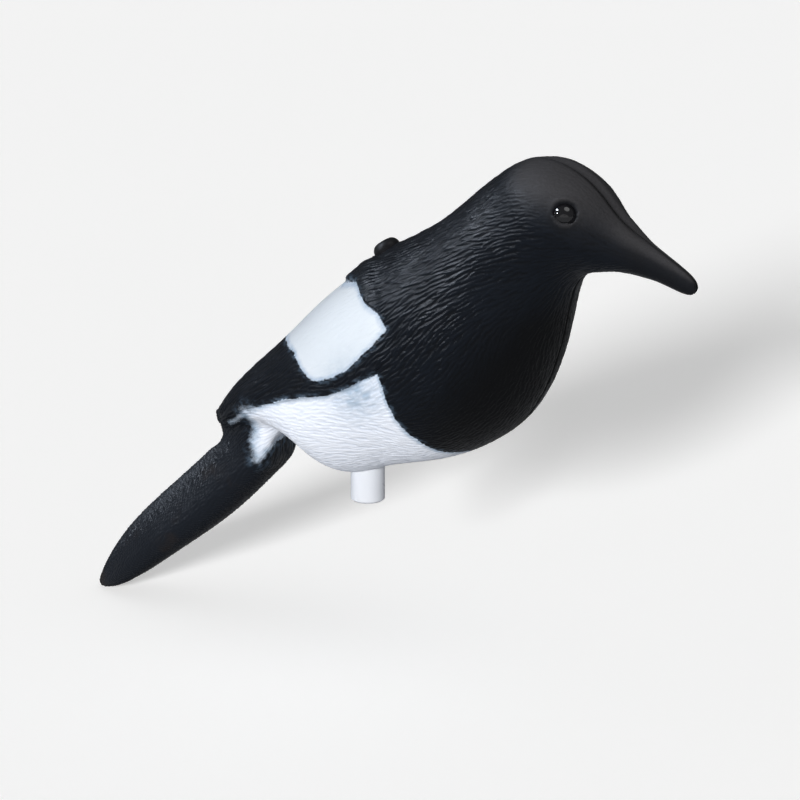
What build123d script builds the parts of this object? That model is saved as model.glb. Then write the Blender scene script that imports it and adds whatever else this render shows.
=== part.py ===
"""Magpie field decoy: a hollow moulded bird in two halves that turns on a stake spigot.

The origin is the mouth of the stake bore, in the middle of the spigot's lower end.
+X is the bird's heading, +Y its left side and +Z up, along the stake. Sizes are in mm.
"""

import os
from math import cos, hypot, radians, sin

from build123d import *

# --- the moulded bird ----------------------------------------------------------------

# Cross sections of the body from the wing tips to the beak tip. Each one stands square to
# the side view on the line from its top point to its bottom point, and its right half is
# two quarter ellipses: (top X, top Z, bottom X, bottom Z, half width).
BODY_STATIONS = [
    (-97.5, 29, -95, 24, 7),
    (-93, 42, -80, 33, 17),
    (-82, 57, -60, 39, 28),
    (-66, 74, -36, 34, 36),
    (-48, 91, -12, 18.5, 42),
    (-24, 115, 16, 23.5, 47),
    (4, 138, 49, 32.5, 50),
    (33, 158, 79, 45.5, 50),
    (55, 174, 102, 64.5, 46),
    (72, 189, 117, 91.5, 38.5),
    (89, 202.5, 125, 120.5, 32),
    (108, 210, 130.5, 142, 31),
    (128, 205.5, 139, 150, 29),
    (143, 195.5, 148, 152, 23.5),
    (156, 182, 157, 153, 15.5),
    (169.5, 173, 168, 152, 10.5),
    (184.7, 164, 181, 149.5, 7),
    (198, 155.5, 193, 145.5, 4.5),
    (202, 149.5, 199.5, 145, 2),
]
BODY_CAVITY = slice(1, 16)  # the stations that are hollow: not the wing tips or the beak
BODY_WAIST = 0.48  # height of the widest line, as a share of the section's height

# Cross sections of the tail, root to tip, in the same terms. They are roof shaped.
TAIL_STATIONS = [
    (-70, 57, -42, 38, 20),
    (-103, 17, -70, 0, 22),
    (-128, -7, -96, -25, 23),
    (-155, -33, -125, -48, 22),
    (-173, -55, -150, -67, 17),
    (-184, -74, -172, -80.5, 9),
    (-186.5, -80, -182, -83, 4),
]
TAIL_CAVITY = slice(0, 5)  # the stations that are hollow: not the tip
TAIL_EAVES = 0.3  # height of the tail's side edges, as a share of the section's height
TAIL_ROOF = 0.74  # half width midway from the side edges to the ridge, as a share

WALL = 2.6

# Folded wing in the side view: its lower edge from the shoulder to the tip, then a way
# round outside the back to the shoulder again.
WING_LOWER_EDGE = [(40, 99), (30, 90), (14, 79), (-12, 70), (-40, 61), (-63, 52), (-90, 33)]
WING_ROUND_BACK = [(-90, 33), (-104, 40), (-45, 110), (5, 150), (32, 130), (40, 99)]
WING_PROUD = 2.0  # how far the wing stands off the flank
WING_INNER_Y = 9.0  # where the wing starts, from the parting plane
WING_REACH = 70.0

# Moulded posts that line the halves up, with a peg on the right one: (X, Z).
POST_PLACES = [(100, 168), (78, 92), (-30, 52), (-111, -16)]
POST_R = 5.0
POST_REACH = 60.0
PEG_R = 2.5
PEG_LENGTH = 4.0
PEG_ROOM = 0.5

# --- stake spigot and its bearing, all on the Z axis ---------------------------------

SPIGOT_R = 9.75
SPIGOT_CHAMFER = 1.0
SHOULDER_Z = 27.5
JOURNAL_R = 7.5
JOURNAL_TOP_Z = 52.5
STAKE_BORE_R = 5.1
STAKE_BORE_DEPTH = 34.0

RUN_GAP = 0.05  # radial clearance of the journal in its bush
TURN_GAP = 0.6  # gap between the spigot's other faces and what turns around them
THRUST_WASHER_R = 11.6
THRUST_WASHER_T = 1.5
BUSH_Z = SHOULDER_Z + THRUST_WASHER_T
BUSH_TOP_Z = JOURNAL_TOP_Z - 0.4
BUSH_R = 11.0
BUSH_FLANGE_R = 13.5
BUSH_FLANGE_T = 2.2
BOSS_R = 16.5
BOSS_TOP_Z = 47.5

RETAINING_WASHER_R = 11.0
RETAINING_WASHER_T = 1.6
SCREW_R = 2.0
SCREW_GRIP = 10.4  # length of the screw's shank in the journal
SCREW_HEAD_R = 4.0
SCREW_HEAD_T = 2.8

# --- knob on the back, square to the back on the parting plane -----------------------

KNOB_X = 15.0
KNOB_Z = 145.2
KNOB_TILT = 35.0  # degrees that the knob leans back from upright
KNOB_AXIS = (-sin(radians(KNOB_TILT)), 0, cos(radians(KNOB_TILT)))
KNOB_PLANE = Plane(origin=(KNOB_X, 0, KNOB_Z), x_dir=(0, 1, 0), z_dir=KNOB_AXIS)
KNOB_R = 7.8
KNOB_NECK_R = 6.2
KNOB_NECK_T = 1.8
KNOB_HEIGHT = 8.5
KNOB_SINK = 1.2
KNOB_PAD_R = 10.0
KNOB_PAD_DEPTH = 6.0
KNOB_STEM_R = 3.0
KNOB_STEM_LENGTH = 14.0
KNOB_WASHER_R = 7.5
KNOB_WASHER_T = 1.4
KNOB_NUT_ACROSS_FLATS = 10.0
KNOB_NUT_T = 5.0

# --- eyes: the right one's seat; the left one is its mirror image ----------------------

EYE_PLACE = (134.5, -24.0, 186.0)
EYE_TOE_IN = 30.0  # degrees that each eye looks ahead of square to the side
EYE_LIFT = 16.0  # degrees that each eye looks up
EYE_AXIS = (
    sin(radians(EYE_TOE_IN)) * cos(radians(EYE_LIFT)),
    -cos(radians(EYE_TOE_IN)) * cos(radians(EYE_LIFT)),
    sin(radians(EYE_LIFT)),
)
EYE_LEVEL = (cos(radians(EYE_TOE_IN)), sin(radians(EYE_TOE_IN)), 0)
EYE_PLANE = Plane(origin=EYE_PLACE, x_dir=EYE_LEVEL, z_dir=EYE_AXIS)
EYE_R = 6.2
EYE_DOME = 3.6  # how far the eye bulges
EYE_SINK = 1.2
EYE_STEM_R = 1.8
EYE_STEM_LENGTH = 9.0
BROW_R = 8.2
BROW_PROUD = 0.6
EYE_PAD_DEPTH = 5.0
EYE_CLIP_R = 4.5
EYE_CLIP_T = 0.8

os.makedirs("parts", exist_ok=True)


def save(part, name):
    """Label the piece and write it to its own file."""
    part.label = name
    export_step(part, f"parts/{name}.step")


def disc(plane, radius, length, mode=Mode.ADD):
    """Round bar that starts on a plane, added to or cut from the part being built."""
    with BuildSketch(plane) as face:
        Circle(radius)
    extrude(face.sketch, amount=length, mode=mode)


def section_frame(station, inset):
    """Plane on a station's bottom point, its height and its half width, all inset."""
    top_x, top_z, bottom_x, bottom_z, half_width = station
    height = hypot(top_x - bottom_x, top_z - bottom_z)
    up = Vector((top_x - bottom_x) / height, 0, (top_z - bottom_z) / height)
    ahead = Vector(up.Z, 0, -up.X)
    foot = Vector(bottom_x, 0, bottom_z) + up * inset
    plane = Plane(origin=foot, x_dir=up, z_dir=ahead)
    return plane, height - 2 * inset, half_width - inset


def body_half(inset, stations, ruled=False):
    """Right half of the body: half oval sections lofted from the wing tips to the beak."""
    with BuildPart() as half:
        for station in stations:
            plane, height, half_width = section_frame(station, inset)
            waist = height * BODY_WAIST
            with BuildSketch(plane):
                with BuildLine():
                    EllipticalCenterArc((waist, 0), waist, half_width, 90, arc_size=90)
                    EllipticalCenterArc((waist, 0), height - waist, half_width, 0, arc_size=90)
                    Line((0, 0), (height, 0))
                make_face()
        loft(ruled=ruled)
    return half.part


def tail_half(inset, stations, ruled=False):
    """Right half of the tail: half roof sections lofted from the root to the tip."""
    with BuildPart() as half:
        for station in stations:
            plane, height, half_width = section_frame(station, inset)
            eaves = height * TAIL_EAVES
            roof_middle = (eaves + height) / 2
            with BuildSketch(plane):
                with BuildLine():
                    Spline(
                        (0, 0),
                        (eaves, half_width),
                        (roof_middle, half_width * TAIL_ROOF),
                        (height, 0),
                    )
                    Line((0, 0), (height, 0))
                make_face()
        loft(ruled=ruled)
    return half.part


def wing_half():
    """Folded right wing: the flank stood off by a step, inside the wing's outline."""
    with BuildPart() as wing:
        with BuildSketch(Plane.XZ.offset(WING_INNER_Y)):
            with BuildLine():
                Spline(*WING_LOWER_EDGE)
                Polyline(*WING_ROUND_BACK)
            make_face()
        extrude(amount=WING_REACH)
        add(body_half(-WING_PROUD, BODY_STATIONS), mode=Mode.INTERSECT)
    return wing.part


def outer_half():
    """Right half of the bird, solid, with its folded wing and its tail."""
    with BuildPart() as outer:
        add(body_half(0, BODY_STATIONS))
        add(tail_half(0, TAIL_STATIONS))
        add(wing_half())
    return outer.part


def trimmed_post(outer, plane, radius, length):
    """Round post that starts on a plane and is trimmed by the bird's outer surface."""
    with BuildPart() as post:
        disc(plane, radius, length)
        add(outer, mode=Mode.INTERSECT)
    return post.part


def side_plane(place, facing):
    """Plane on the parting plane at (X, Z), facing along +Y or -Y."""
    return Plane(origin=(place[0], 0, place[1]), x_dir=(1, 0, 0), z_dir=(0, facing, 0))


def half_shell():
    """Right half shell, hollow, with its bearing boss, knob seat, eye seat and posts."""
    outer = outer_half()
    with BuildPart() as shell:
        add(outer)
        add(body_half(WALL, BODY_STATIONS[BODY_CAVITY], ruled=True), mode=Mode.SUBTRACT)
        add(tail_half(WALL, TAIL_STATIONS[TAIL_CAVITY], ruled=True), mode=Mode.SUBTRACT)
        for place in POST_PLACES:
            add(trimmed_post(outer, side_plane(place, -1), POST_R, POST_REACH))

        # Bearing boss, bored for the spigot, its thrust washer and the flanged bush.
        add(trimmed_post(outer, Plane.XY, BOSS_R, BOSS_TOP_Z))
        disc(Plane.XY, SPIGOT_R + TURN_GAP, BUSH_Z, Mode.SUBTRACT)
        washer_plane = Plane.XY.offset(SHOULDER_Z - TURN_GAP)
        disc(washer_plane, THRUST_WASHER_R + TURN_GAP, BUSH_Z - SHOULDER_Z + TURN_GAP, Mode.SUBTRACT)
        disc(Plane.XY.offset(BUSH_Z), BUSH_FLANGE_R, BUSH_FLANGE_T, Mode.SUBTRACT)
        disc(Plane.XY.offset(BUSH_Z), BUSH_R, BOSS_TOP_Z, Mode.SUBTRACT)

        # Knob seat: a pad under the back, a shallow counterbore and the stem's hole.
        pad_plane = KNOB_PLANE.offset(-KNOB_PAD_DEPTH)
        add(trimmed_post(outer, pad_plane, KNOB_PAD_R, KNOB_PAD_DEPTH * 2))
        disc(KNOB_PLANE.offset(-KNOB_SINK), KNOB_NECK_R, KNOB_PAD_DEPTH, Mode.SUBTRACT)
        disc(pad_plane, KNOB_STEM_R, KNOB_PAD_DEPTH, Mode.SUBTRACT)

        # Eye seat: a round brow, a pocket for the eye and the stem's hole.
        disc(EYE_PLANE.offset(-EYE_PAD_DEPTH), BROW_R, EYE_PAD_DEPTH + BROW_PROUD)
        disc(EYE_PLANE.offset(-EYE_SINK), EYE_R, EYE_PAD_DEPTH, Mode.SUBTRACT)
        disc(EYE_PLANE.offset(-EYE_PAD_DEPTH), EYE_STEM_R, EYE_PAD_DEPTH, Mode.SUBTRACT)
    return shell.part


def right_half_shell(half):
    """Right half shell, with the moulded pegs that enter the left half."""
    with BuildPart() as shell:
        add(half)
        for place in POST_PLACES:
            disc(side_plane(place, 1), PEG_R, PEG_LENGTH)
    save(shell.part, "right_half_shell")


def left_half_shell(half):
    """Left half shell: the right one mirrored, with a socket for each peg."""
    with BuildPart() as shell:
        add(half)
        for place in POST_PLACES:
            disc(side_plane(place, -1), PEG_R, PEG_LENGTH + PEG_ROOM, Mode.SUBTRACT)
        mirror(about=Plane.XZ, mode=Mode.REPLACE)
    save(shell.part, "left_half_shell")


def stake_spigot():
    """White stake spigot: outer tube, shoulder and journal, bored for a stake."""
    with BuildPart() as spigot:
        disc(Plane.XY, SPIGOT_R, SHOULDER_Z)
        chamfer(spigot.faces().sort_by(Axis.Z)[0].edges(), SPIGOT_CHAMFER)
        disc(Plane.XY.offset(SHOULDER_Z), JOURNAL_R, JOURNAL_TOP_Z - SHOULDER_Z)
        disc(Plane.XY, STAKE_BORE_R, STAKE_BORE_DEPTH, Mode.SUBTRACT)
        disc(Plane.XY.offset(JOURNAL_TOP_Z - SCREW_GRIP), SCREW_R, SCREW_GRIP, Mode.SUBTRACT)
    save(spigot.part, "stake_spigot")


def spigot_bush():
    """Flanged bush held in the bearing boss; the journal turns inside it."""
    with BuildPart() as bush:
        disc(Plane.XY.offset(BUSH_Z), BUSH_FLANGE_R, BUSH_FLANGE_T)
        disc(Plane.XY.offset(BUSH_Z), BUSH_R, BUSH_TOP_Z - BUSH_Z)
        disc(Plane.XY.offset(BUSH_Z), JOURNAL_R + RUN_GAP, BUSH_TOP_Z - BUSH_Z, Mode.SUBTRACT)
    save(bush.part, "spigot_bush")


def washer(name, plane, outer_r, hole_r, thickness):
    """Flat washer that stands on a plane."""
    with BuildPart() as ring:
        disc(plane, outer_r, thickness)
        disc(plane, hole_r, thickness, Mode.SUBTRACT)
    save(ring.part, name)


def retaining_screw():
    """Pan head screw down the top of the journal, with a cross recess."""
    head_z = JOURNAL_TOP_Z + RETAINING_WASHER_T
    with BuildPart() as screw:
        disc(Plane.XY.offset(head_z), SCREW_HEAD_R, SCREW_HEAD_T)
        fillet(screw.faces().sort_by(Axis.Z)[-1].edges(), SCREW_HEAD_T / 3)
        with BuildSketch(Plane.XY.offset(head_z + SCREW_HEAD_T / 3)):
            Rectangle(SCREW_HEAD_R, SCREW_HEAD_R / 4)
            Rectangle(SCREW_HEAD_R / 4, SCREW_HEAD_R)
        extrude(amount=SCREW_HEAD_T, mode=Mode.SUBTRACT)
        disc(Plane.XY.offset(JOURNAL_TOP_Z - SCREW_GRIP), SCREW_R, SCREW_GRIP + RETAINING_WASHER_T)
    save(screw.part, "retaining_screw")


def back_knob():
    """Round knob on the back: a domed head on a narrower neck, and a stem to a nut."""
    with BuildPart() as knob:
        disc(KNOB_PLANE.offset(-KNOB_STEM_LENGTH), KNOB_STEM_R, KNOB_STEM_LENGTH)
        disc(KNOB_PLANE.offset(-KNOB_SINK), KNOB_NECK_R, KNOB_SINK + KNOB_NECK_T)
        disc(KNOB_PLANE.offset(KNOB_NECK_T), KNOB_R, KNOB_HEIGHT - KNOB_NECK_T)
        outwards = Axis(KNOB_PLANE.origin, KNOB_PLANE.z_dir)
        fillet(knob.edges().sort_by(outwards)[-1], (KNOB_HEIGHT - KNOB_NECK_T) * 0.7)
    save(knob.part, "back_knob")


def knob_nut():
    """Hexagon nut on the knob's stem, inside the back."""
    with BuildPart() as nut:
        with BuildSketch(KNOB_PLANE.offset(-KNOB_PAD_DEPTH - KNOB_WASHER_T - KNOB_NUT_T)):
            RegularPolygon(KNOB_NUT_ACROSS_FLATS / 2, 6, major_radius=False)
            Circle(KNOB_STEM_R, mode=Mode.SUBTRACT)
        extrude(amount=KNOB_NUT_T)
    save(nut.part, "knob_nut")


def eyes():
    """Glossy domed eyes, each on a stem through the shell."""
    ball_r = (EYE_R**2 + EYE_DOME**2) / (2 * EYE_DOME)
    profile_plane = Plane(origin=EYE_PLACE, x_dir=EYE_LEVEL, z_dir=-EYE_PLANE.y_dir)
    with BuildPart() as eye:
        with BuildSketch(profile_plane):
            with BuildLine():
                Polyline(
                    (0, EYE_DOME),
                    (0, -EYE_STEM_LENGTH),
                    (EYE_STEM_R, -EYE_STEM_LENGTH),
                    (EYE_STEM_R, -EYE_SINK),
                    (EYE_R, -EYE_SINK),
                    (EYE_R, 0),
                )
                RadiusArc((EYE_R, 0), (0, EYE_DOME), -ball_r)
            make_face()
        revolve(axis=Axis(EYE_PLANE.origin, EYE_PLANE.z_dir))
    save(eye.part, "right_eye")
    with BuildPart() as left_eye:
        mirror(eye.part, about=Plane.XZ)
    save(left_eye.part, "left_eye")


def eye_clips():
    """Push-on clips that hold the eyes' stems, inside the head."""
    with BuildPart() as clip:
        disc(EYE_PLANE.offset(-EYE_PAD_DEPTH - EYE_CLIP_T), EYE_CLIP_R, EYE_CLIP_T)
        disc(EYE_PLANE.offset(-EYE_PAD_DEPTH - EYE_CLIP_T), EYE_STEM_R, EYE_CLIP_T, Mode.SUBTRACT)
    save(clip.part, "right_eye_clip")
    with BuildPart() as left_clip:
        mirror(clip.part, about=Plane.XZ)
    save(left_clip.part, "left_eye_clip")


shared_half = half_shell()
right_half_shell(shared_half)
left_half_shell(shared_half)
eyes()
eye_clips()
stake_spigot()
spigot_bush()
washer("thrust_washer", Plane.XY.offset(SHOULDER_Z), THRUST_WASHER_R, JOURNAL_R, THRUST_WASHER_T)
washer(
    "retaining_washer",
    Plane.XY.offset(JOURNAL_TOP_Z),
    RETAINING_WASHER_R,
    SCREW_R,
    RETAINING_WASHER_T,
)
retaining_screw()
back_knob()
washer(
    "knob_washer",
    KNOB_PLANE.offset(-KNOB_PAD_DEPTH - KNOB_WASHER_T),
    KNOB_WASHER_R,
    KNOB_STEM_R,
    KNOB_WASHER_T,
)
knob_nut()
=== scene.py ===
"""Looks of the magpie field decoy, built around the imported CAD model.

The two half shells get a detailed skin: the CAD surface remeshed, carved with feathers, cut out
for the swivel and painted. Skin work is in millimetres; Blender objects are in metres.
"""

import math

import bmesh
import bpy
import numpy as np
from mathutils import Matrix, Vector
from mathutils.kdtree import KDTree


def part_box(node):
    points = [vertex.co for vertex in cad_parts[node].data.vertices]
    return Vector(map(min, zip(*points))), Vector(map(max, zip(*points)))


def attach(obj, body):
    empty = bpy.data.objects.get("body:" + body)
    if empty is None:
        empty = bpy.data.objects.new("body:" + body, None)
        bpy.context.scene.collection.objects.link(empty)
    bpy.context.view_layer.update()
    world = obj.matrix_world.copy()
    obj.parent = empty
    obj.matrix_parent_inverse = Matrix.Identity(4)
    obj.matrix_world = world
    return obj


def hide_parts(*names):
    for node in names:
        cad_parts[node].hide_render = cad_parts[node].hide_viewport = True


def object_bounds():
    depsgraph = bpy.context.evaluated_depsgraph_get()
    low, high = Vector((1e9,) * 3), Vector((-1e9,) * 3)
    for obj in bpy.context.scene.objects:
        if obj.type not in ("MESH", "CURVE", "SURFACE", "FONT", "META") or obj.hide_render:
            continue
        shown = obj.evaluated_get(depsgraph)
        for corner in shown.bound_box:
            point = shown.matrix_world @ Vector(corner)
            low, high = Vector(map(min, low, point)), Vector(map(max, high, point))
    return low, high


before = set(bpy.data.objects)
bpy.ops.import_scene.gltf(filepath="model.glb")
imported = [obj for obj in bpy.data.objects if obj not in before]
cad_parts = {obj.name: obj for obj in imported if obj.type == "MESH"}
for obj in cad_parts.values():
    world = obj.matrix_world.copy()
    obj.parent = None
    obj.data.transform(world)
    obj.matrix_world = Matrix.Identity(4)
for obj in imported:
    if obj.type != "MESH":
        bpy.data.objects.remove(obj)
CAD_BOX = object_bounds()

MM = 0.001

MERGE_DISTANCE = 1e-6  # in metres

# --- skin: sizes in mm, places seen from the side as X and Z -----------------------------

VOXEL = 0.62  # edge of the remesh
SMOOTH_PASSES = 5
SMOOTH_SHARE = 0.5  # of the way to the middle of the neighbours, in each pass

# Balls that close the shell's holes from inside: node, depth from its outer end, radius.
PLUGS = [("right_eye", 7.2, 3.4), ("left_eye", 7.2, 3.4), ("back_knob", 10.5, 4.6)]
BODY_MIDDLE_Z = 90.0  # the eyes and the knob point away from this height

# Lines where the CAD's hard steps melt away on the bird.
WING_FRONT = [(0, 152), (20, 142), (32, 130), (41, 112), (42, 99)]
WING_FRONT_R = 9.0
RUMP_CREASE = [(-90, 24), (-74, 31), (-56, 33), (-44, 26)]
RUMP_CREASE_R = 19.0
BACK_RIDGE = [(-6, 131), (-30, 110), (-60, 86), (-74, 72)]
BACK_RIDGE_R = 11.0
FRONT_PASSES = 130
RUMP_PASSES = 420
RIDGE_PASSES = 120
MELT_CORE = 0.35  # share of a line's reach that melts in full

# Plumage: place X, Z; heading in degrees (180 is back, 270 is down); and the width, length
# and height of one feather tuft there.
PLUMAGE = [
    (118, 208, 186, 2.0, 5, 0.16),
    (150, 190, 150, 1.7, 4, 0.14),
    (134, 186, 180, 1.8, 5, 0.18),
    (85, 198, 212, 2.3, 9, 0.42),
    (125, 165, 184, 2.1, 11, 0.55),
    (150, 155, 180, 1.9, 8, 0.40),
    (112, 140, 205, 2.2, 9, 0.45),
    (95, 165, 203, 2.5, 12, 0.70),
    (72, 140, 212, 2.7, 13, 0.80),
    (35, 152, 205, 2.5, 10, 0.60),
    (10, 138, 205, 2.5, 9, 0.60),
    (42, 118, 235, 2.5, 12, 0.80),
    (70, 105, 230, 2.5, 9, 0.70),
    (105, 100, 255, 2.3, 6, 0.45),
    (85, 62, 230, 2.1, 5, 0.36),
    (50, 85, 215, 2.4, 9, 0.70),
    (62, 45, 190, 2.1, 5, 0.36),
    (45, 45, 150, 2.0, 10, 0.50),
    (5, 50, 178, 2.0, 11, 0.50),
    (-35, 48, 178, 2.0, 10, 0.45),
    (0, 20, 180, 2.0, 8, 0.36),
    (20, 100, 225, 2.5, 8, 0.65),
    (-10, 76, 195, 2.6, 9, 0.55),
    (-50, 70, 203, 2.9, 20, 0.80),
    (-80, 45, 215, 2.7, 20, 0.75),
    (-45, 88, 225, 2.4, 10, 0.55),
    (-80, 30, 226, 1.9, 7, 0.45),
    (-115, -15, 226, 1.8, 7, 0.42),
    (-165, -60, 227, 1.8, 7, 0.36),
]
GUIDE_REACH = 14.0  # how far one place of the list blends into the next
TUFT_TRIES = 3  # one point in this many is tried as the place of a tuft
ROW_OVERLAP = 0.42  # spacing of tufts along their length, as a share of it
SIDE_OVERLAP = 0.78  # spacing of tufts across, as a share of their width
HEADING_JITTER = 9.0  # in degrees
SIZE_JITTER = 0.25
TUFT_BEND = 0.9  # sideways, as a share of half the width
TUFT_LEVELS = (0.7, 1.0)  # lowest and highest tuft, as a share of the height
TUFT_REACH = 0.55  # from the middle of a tuft, as a share of its length
TUFT_FACING = 0.2  # a point that faces further away isn't on the tuft
FEATHER_RELIEF = 1.25  # on the heights above
FEATHER_ZERO = 0.6  # the crest height that leaves the skin where it is

# Outlines of white paint. The two patches close outside the bird.
SHOULDER_WHITE = [
    (-6, 130), (8, 134), (13, 132), (21, 127), (31.5, 124), (39, 116), (32.6, 107.6),
    (24, 99), (16, 91), (3.4, 83.6), (-7.3, 80.4), (-11.4, 81.6), (-18, 85.5), (-26.4, 91.5),
    (-39, 93.5), (-54, 93), (-75, 100), (-20, 150),
]
FLANK_WHITE = [
    (35, 91), (25, 86), (13.8, 79), (1.2, 73.4), (-12, 70.4), (-30, 65.6), (-40, 61),
    (-63, 52), (-62.6, 42.5), (-65, 30), (-61.3, 18.8), (-55, 22.1), (-43, 25), (-40, 0),
    (0, -10), (62, 10), (70, 42), (64, 42.5), (59, 45), (55, 50), (49, 57), (44, 65),
    (41, 74), (38.5, 81), (37.2, 87),
]
WING_TIP_STREAK = [(-60, 53), (-84, 37.5), (-82, 35.5), (-60, 49)]
FLANK_CORNER = (20, 80)  # the paint is thin around this corner of the flank patch
FLANK_CORNER_R = 16.0

# The mantle swells above the shoulder patch and ends over it in a step. Each ramp is where a
# thing comes in or goes out: its start and its end.
MANTLE_STEP = 2.3
MANTLE_EDGE_RAMP = (0.0, 0.9)  # away from the patch
MANTLE_FADE = 34.0  # away from the patch
MANTLE_LOW_RAMP = (112.0, 128.0)  # along Z
MANTLE_REAR_RAMP = (-16.0, -9.0)  # along X
MANTLE_FRONT_RAMP = (36.0, 54.0)  # along X
MANTLE_AT_KNOB = 0.55  # share of the step that stays at the knob
MANTLE_KNOB_RAMP = (7.0, 12.0)  # away from the knob's axis

# The crown swells on both sides of the seam.
CROWN_SWELL = 2.0
CROWN_REAR_RAMP = (104.0, 122.0)  # along X
CROWN_FRONT_RAMP = (158.0, 176.0)  # along X
CROWN_SIDE_RAMP = (0.4, 6.0)  # away from the parting plane
CROWN_FACING_RAMP = (0.45, 0.9)  # how far the surface faces up

# The belly draws in over the tail, around this place.
BELLY_TUCK = (-41, 24)
BELLY_TUCK_R = 12.0
BELLY_TUCK_DEPTH = 12.0

# A groove runs along the parting line, deeper on the head.
SEAM_R = 0.75
SEAM_DEPTH = 0.3
SEAM_HEAD_DEPTH = 1.2  # on top of the depth above
SEAM_HEAD_RAMP = (80.0, 100.0)  # along X

# Where the carving calms down.
BEAK_RAMP = (154.0, 172.0)  # along X
BEAK_CALM = 0.93
SHOULDER_RAMP = (-0.5, 2.5)  # into the shoulder patch
SHOULDER_CALM = 0.72
SPINDLE_CLEAR_R = 12.5
SPINDLE_CLEAR_TOP_Z = 34
SPINDLE_CLEAR_FADE = 4
EYE_CLEAR_R = 7.0
EYE_CLEAR_FADE = 4
EYE_ZONE = (9, 20)  # half height along the eye's axis, radius around it
KNOB_CLEAR_R = 8.5
KNOB_CLEAR_FADE = 3
KNOB_ZONE = (14, 14)

BROW_R = 7.9  # of the raised ring around an eye
BROW_WIDTH = 1.4
BROW_HEIGHT = 0.75
BROW_LOW = 0.2  # share of the height that the ring has behind and below the eye
BROW_TOP = (0.7, 0, 0.75)  # direction of its highest place
KNOB_SWELL = 2.4  # of the mantle around the knob
KNOB_SWELL_R = 17.0
KNOB_SWELL_RAMP = (5, 9)  # away from the knob's axis
KNOB_PATCH_RAMP = (0, 3)  # away from the shoulder patch

BELLY_HOLE_R = 10.35  # the CAD's hole around the spigot
POCKET_GAP = 0.4  # left free around the swivel's pieces
POCKET_START_Z = -60  # well below the belly
POCKET_STEPS = 96

# Zones that the paint reads.
HEAD_LOW_RAMP = (178, 198)  # along Z, lower towards the front
HEAD_REAR_RAMP = (88, 108)  # along X
# The head's grey is strongest where the surface faces up: painted top light on the head's grey
# paint.
HEAD_TOP_LIGHT_RAMP = (0.2, 0.75)  # how far the surface faces up
HEAD_UNLIT_SHARE = 0.15  # share of the grey that stays where it doesn't
BRUSHY_RAMP = (48, 60)  # rearward along X
# Painted shade: a dark line along the seam's groove on the head.
SEAM_SHADE_R = 1.2
SEAM_SHADE_RAMP = (90.0, 106.0)  # along X
BEAK_PAINT_RAMP = (154.0, 168.0)  # along X
# Painted shade: the breast's black is darker, forward and down.
BREAST_RAMP = (-6, 26)  # forward and down
BREAST_TOP_RAMP = (120, 150)  # along Z

TAIL_START = (-72.0, 42.0)
TAIL_END = (-184.0, -77.0)
TAIL_RAMP = (4, 22)  # along the tail
TAIL_BARB_PITCH = 2.6
TAIL_BARB_HEIGHT = 0.3
TAIL_BARB_SLANT = 1.15  # along the tail for each mm across it
TAIL_EDGE_RAMP = (0.5, 0.95)  # how far the surface faces sideways
TAIL_EDGE_CALM = 0.8
TAIL_BUMP_LINE = 14.0  # distance of the row of bumps from the parting plane
TAIL_BUMP_ENDS = (12, 14)  # from the tail's start and from its end
TAIL_BUMP_PITCH = 2.7
TAIL_BUMP_R = 1.4
TAIL_BUMP_HEIGHT = 1.0
TAIL_BUMP_JITTER = (0.8, 1.3)  # along and across the tail
TAIL_BUMP_LOWEST = -12  # no bumps further than this below the tail's line


def smoothstep(value, low, high):
    """0 below low, 1 above high, and smooth between."""
    t = np.clip((value - low) / (high - low), 0, 1)
    return t * t * (3 - 2 * t)


def unit(vectors):
    """The same vectors with length 1."""
    return vectors / np.maximum(np.linalg.norm(vectors, axis=-1, keepdims=True), 1e-9)


def turned_axis(node):
    """Centre in mm and outward axis of a turned CAD node: of its three, the odd one out."""
    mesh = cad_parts[node].data
    centres = np.array([tuple(p.center) for p in mesh.polygons]) / MM
    areas = np.array([p.area for p in mesh.polygons])
    centre = np.average(centres, axis=0, weights=areas)
    spread, axes = np.linalg.eigh(np.cov(centres.T, aweights=areas))
    odd = 0 if spread[1] - spread[0] > spread[2] - spread[1] else 2
    axis = axes[:, odd]
    outwards = axis @ (centre - np.array([centre[0], 0, BODY_MIDDLE_Z]))
    return centre, axis * (1 if outwards > 0 else -1)


def ends_along(node, centre, axis):
    """Lowest and highest reach of a CAD node along an axis from a centre, in mm."""
    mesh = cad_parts[node].data
    points = np.array([tuple(v.co) for v in mesh.vertices]) / MM
    reach = (points - centre) @ axis
    return reach.min(), reach.max()


def plug_places():
    """Balls that close the shell's holes from inside: (centre in mm, radius)."""
    bush_low, bush_high = (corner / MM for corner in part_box("spigot_bush"))
    bush_r = (bush_high.x - bush_low.x) / 2
    plugs = [((0, 0, bush_low.z + bush_r), bush_r)]
    for node, depth, radius in PLUGS:
        centre, axis = turned_axis(node)
        top = ends_along(node, centre, axis)[1]
        plugs.append((tuple(centre + axis * (top - depth - radius / 2)), radius))
    return plugs


def closed_shell():
    """One object of both CAD half shells, without their parting faces, and the plugs."""
    build = bmesh.new()
    for node in ("right_half_shell", "left_half_shell"):
        build.from_mesh(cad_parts[node].data)
    flat = [f for f in build.faces if max(abs(v.co.y) for v in f.verts) < MERGE_DISTANCE]
    bmesh.ops.delete(build, geom=flat, context="FACES")
    bmesh.ops.remove_doubles(build, verts=build.verts, dist=MERGE_DISTANCE)
    for place, radius in plug_places():
        made = bmesh.ops.create_icosphere(build, subdivisions=3, radius=radius * MM)
        bmesh.ops.translate(build, verts=made["verts"], vec=Vector(place) * MM)
    mesh = bpy.data.meshes.new("closed_shell")
    build.to_mesh(mesh)
    build.free()
    shell = bpy.data.objects.new("closed_shell", mesh)
    bpy.context.scene.collection.objects.link(shell)
    return shell


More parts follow.
